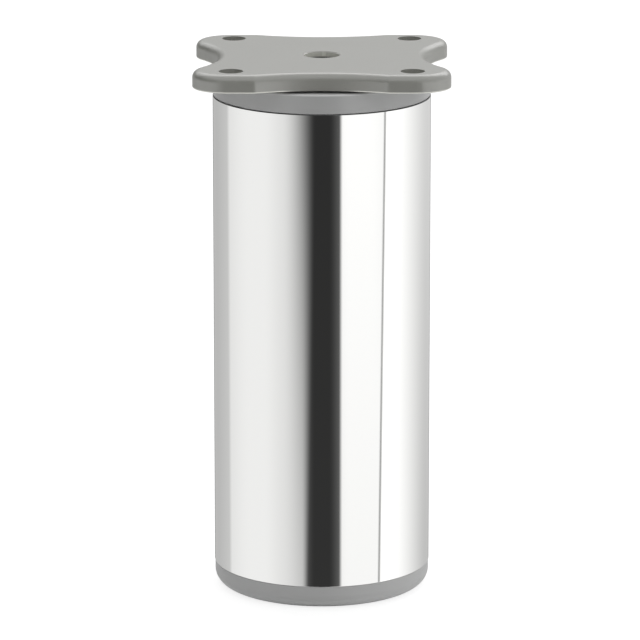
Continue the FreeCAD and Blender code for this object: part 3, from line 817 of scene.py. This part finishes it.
class CABINETLEG_OT_tube(bpy.types.Operator):
    """Turn the bright tube and plate it with chrome"""

    bl_idname = "cabinet_leg.tube"
    bl_label = "Bright tube"

    def execute(self, context):
        settings = context.scene.cabinet_leg
        tube = turn_tube(settings.tube, kept_finish(chrome_plate, settings.chrome))
        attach(tube, "leg")
        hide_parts("leg_tube")
        return {"FINISHED"}


class CABINETLEG_OT_spindle(bpy.types.Operator):
    """Turn the spindle and cut its thread"""

    bl_idname = "cabinet_leg.spindle"
    bl_label = "Threaded spindle"

    def execute(self, context):
        settings = context.scene.cabinet_leg
        spindle = turn_spindle(settings.spindle, kept_finish(zinc_plate, settings.steel))
        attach(spindle, "spindle")
        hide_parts("levelling_spindle")
        return {"FINISHED"}


class CABINETLEG_OT_steel(bpy.types.Operator):
    """Finish the plate's screws and the spindle's nut"""

    bl_idname = "cabinet_leg.steel"
    bl_label = "Screws and nut"

    def execute(self, context):
        settings = context.scene.cabinet_leg
        finish_nodes(kept_finish(zinc_plate, settings.steel), "plate_screws", "spindle_nut")
        return {"FINISHED"}


class CABINETLEG_OT_plastic(bpy.types.Operator):
    """Finish the mounting plate, the collar and the foot"""

    bl_idname = "cabinet_leg.plastic"
    bl_label = "Grey plastic pieces"

    def execute(self, context):
        settings = context.scene.cabinet_leg
        finish_nodes(kept_finish(plate_plastic, settings.plastic), "mounting_plate")
        finish_nodes(kept_finish(collar_plastic, settings.plastic), "top_plug")
        finish_nodes(kept_finish(foot_plastic, settings.plastic), "foot")
        return {"FINISHED"}


class CABINETLEG_OT_insert(bpy.types.Operator):
    """Finish the insert in the tube's lower end"""

    bl_idname = "cabinet_leg.insert"
    bl_label = "Lower insert"

    def execute(self, context):
        settings = context.scene.cabinet_leg
        finish_nodes(kept_finish(dark_plastic, settings.insert), "lower_plug")
        return {"FINISHED"}


class CABINETLEG_OT_stage(bpy.types.Operator):
    """Lay the floor, light the studio and place the camera"""

    bl_idname = "cabinet_leg.stage"
    bl_label = "Studio"

    def execute(self, context):
        settings = context.scene.cabinet_leg
        context.scene.view_settings.view_transform = "Standard"
        lay_floor(settings.studio)
        light_studio(settings.walls)
        place_camera(settings.studio)
        return {"FINISHED"}


STEPS = (CABINETLEG_OT_tube, CABINETLEG_OT_spindle, CABINETLEG_OT_steel, CABINETLEG_OT_plastic,
         CABINETLEG_OT_insert, CABINETLEG_OT_stage)


class CABINETLEG_PT_sidebar(bpy.types.Panel):
    """Lists the steps and the settings of the cabinet leg"""

    bl_idname = "CABINETLEG_PT_sidebar"
    bl_label = "Cabinet leg"
    bl_space_type = "VIEW_3D"
    bl_region_type = "UI"
    bl_category = "Cabinet leg"

    def draw(self, context):
        for step in STEPS:
            self.layout.operator(step.bl_idname)
        settings = context.scene.cabinet_leg
        for group in settings.bl_rna.properties.keys():
            part = getattr(settings, group)
            if isinstance(part, bpy.types.PropertyGroup):
                box = self.layout.box()
                box.label(text=group.title())
                for name in part.__annotations__:
                    box.prop(part, name)


CLASSES = (TubeSettings, SpindleSettings, PlasticSettings, ChromeSettings, SteelSettings, InsertSettings,
           StudioSettings, WallSettings, LegSettings, *STEPS, CABINETLEG_PT_sidebar)


def register():
    for cls in CLASSES:
        bpy.utils.register_class(cls)
    bpy.types.Scene.cabinet_leg = bpy.props.PointerProperty(type=LegSettings)


def unregister():
    del bpy.types.Scene.cabinet_leg
    for cls in reversed(CLASSES):
        bpy.utils.unregister_class(cls)


def main():
    register()
    bpy.ops.cabinet_leg.tube()
    bpy.ops.cabinet_leg.spindle()
    bpy.ops.cabinet_leg.steel()
    bpy.ops.cabinet_leg.plastic()
    bpy.ops.cabinet_leg.insert()
    bpy.ops.cabinet_leg.stage()


if __name__ == "__main__":
    main()
